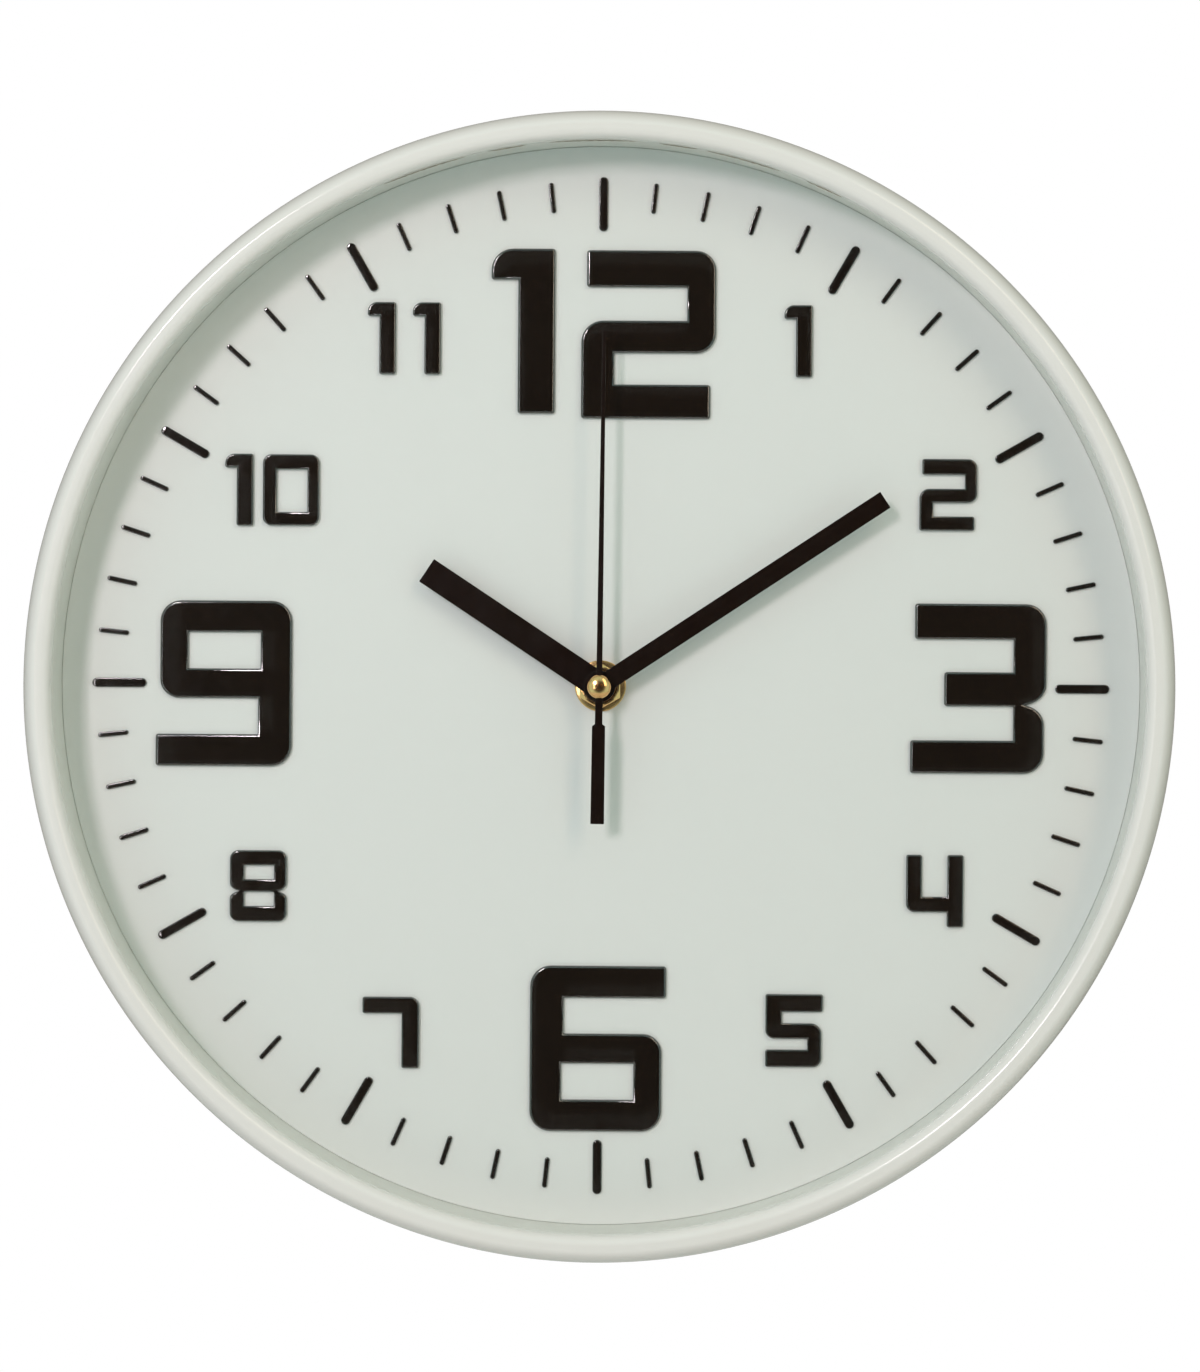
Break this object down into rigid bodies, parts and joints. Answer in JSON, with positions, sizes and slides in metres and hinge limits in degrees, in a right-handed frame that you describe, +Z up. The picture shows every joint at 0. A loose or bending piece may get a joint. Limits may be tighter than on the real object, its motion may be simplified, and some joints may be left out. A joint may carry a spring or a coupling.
{
  "type": "wall clock",
  "caption": "Round analogue wall clock with a deep glossy white rim, glass front, raised black numerals and minute marks, black hands and a battery quartz movement.",
  "frame": {"origin": "the nail that the clock hangs on: middle of the keyhole slot's top end, in the plane of the wall", "axes": "+X to the right as seen from the front, +Z up, and -Y out of the wall towards the viewer; the wall is the plane y = 0"},
  "size_m": [0.3, 0.042, 0.3],
  "materials": {
    "rim_white": "glossy warm white injection-moulded ABS",
    "pan_white": "satin white moulded ABS",
    "dial_white": "fine matte white moulded plate with raised minute marks in black foil",
    "clear_glass": "clear flat glass with a slight green tint",
    "numeral_black": "glossy brown-black moulded plastic",
    "hand_black": "stamped sheet, semi-gloss brown-black paint",
    "brass": "bright turned brass",
    "zinc_steel": "zinc-plated steel",
    "movement_black": "black moulded ABS with a fine spark texture",
    "nylon_white": "natural moulded acetal",
    "copper_wire": "enamelled copper winding",
    "magnet_grey": "sintered magnet on a moulded pinion",
    "washer_rubber": "black rubber",
    "board_green": "green solder resist",
    "battery_wrap": "plain printed sleeve on a metal can, no lettering"
  },
  "bodies": {
    "case": {"case_rim": "rim_white", "back_pan": "pan_white", "dial": "dial_white", "glass_lens": "clear_glass", "numeral_12_one": "numeral_black", "numeral_12_two": "numeral_black", "numeral_1": "numeral_black", "numeral_2": "numeral_black", "numeral_3": "numeral_black", "numeral_4": "numeral_black", "numeral_5": "numeral_black", "numeral_6": "numeral_black", "numeral_7": "numeral_black", "numeral_8": "numeral_black", "numeral_9": "numeral_black", "numeral_10_one": "numeral_black", "numeral_10_zero": "numeral_black", "numeral_11_left": "numeral_black", "numeral_11_right": "numeral_black", "ic_chip": "numeral_black", "hex_nut": "brass", "brass_washer": "brass", "threaded_bushing": "brass", "cover_screw_1": "zinc_steel", "cover_screw_2": "zinc_steel", "cover_screw_3": "zinc_steel", "cover_screw_4": "zinc_steel", "cover_screw_5": "zinc_steel", "cover_screw_6": "zinc_steel", "hanger_plate": "zinc_steel", "hanger_screw_left": "zinc_steel", "hanger_screw_right": "zinc_steel", "stator": "zinc_steel", "quartz_crystal": "zinc_steel", "battery_contact_positive": "zinc_steel", "battery_contact_negative": "zinc_steel", "movement_front_case": "movement_black", "movement_rear_case": "movement_black", "middle_plate": "nylon_white", "coil_bobbin": "nylon_white", "coil_winding": "copper_wire", "rubber_washer": "washer_rubber", "circuit_board": "board_green"},
    "second": {"second_hand": "hand_black", "second_hand_cap": "brass", "seconds_wheel": "nylon_white"},
    "minute": {"minute_hand": "hand_black", "centre_wheel": "nylon_white"},
    "hour": {"hour_hand": "hand_black", "hour_wheel": "nylon_white"},
    "third_gear": {"third_wheel": "nylon_white"},
    "intermediate_gear": {"intermediate_wheel": "nylon_white"},
    "rotor_shaft": {"rotor": "magnet_grey"},
    "setting": {"motion_wheel": "nylon_white", "set_knob": "movement_black"},
    "battery_cell": {"battery": "battery_wrap"}
  },
  "joints": [
    {"name": "second_turn", "type": "hinge", "parent": "case", "child": "second", "pos_m": [0, 0, -0.105], "axis": [0, 1, 0], "continuous": true},
    {"name": "minute_turn", "type": "hinge", "parent": "case", "child": "minute", "pos_m": [0, 0, -0.105], "axis": [0, 1, 0], "continuous": true},
    {"name": "hour_turn", "type": "hinge", "parent": "case", "child": "hour", "pos_m": [0, 0, -0.105], "axis": [0, 1, 0], "continuous": true},
    {"name": "third_turn", "type": "hinge", "parent": "case", "child": "third_gear", "pos_m": [0.0081, 0, -0.105], "axis": [0, 1, 0], "continuous": true},
    {"name": "intermediate_turn", "type": "hinge", "parent": "case", "child": "intermediate_gear", "pos_m": [0.00174, 0, -0.09851], "axis": [0, 1, 0], "continuous": true},
    {"name": "rotor_turn", "type": "hinge", "parent": "case", "child": "rotor_shaft", "pos_m": [0.00444, 0, -0.09383], "axis": [0, 1, 0], "continuous": true},
    {"name": "setting_turn", "type": "hinge", "parent": "case", "child": "setting", "pos_m": [-0.00927, 0, -0.10251], "axis": [0, 1, 0], "continuous": true},
    {"name": "battery_slide", "type": "slide", "parent": "case", "child": "battery_cell", "axis": [0, 1, 0], "range_m": [0, 0.025]}
  ],
  "couplings": [
    {"joint": "minute_turn", "follows": "second_turn", "ratio": 0.016667},
    {"joint": "hour_turn", "follows": "second_turn", "ratio": 0.0013889},
    {"joint": "third_turn", "follows": "second_turn", "ratio": -0.13333},
    {"joint": "intermediate_turn", "follows": "second_turn", "ratio": -6},
    {"joint": "rotor_turn", "follows": "second_turn", "ratio": 30},
    {"joint": "setting_turn", "follows": "second_turn", "ratio": -0.0055556}
  ]
}
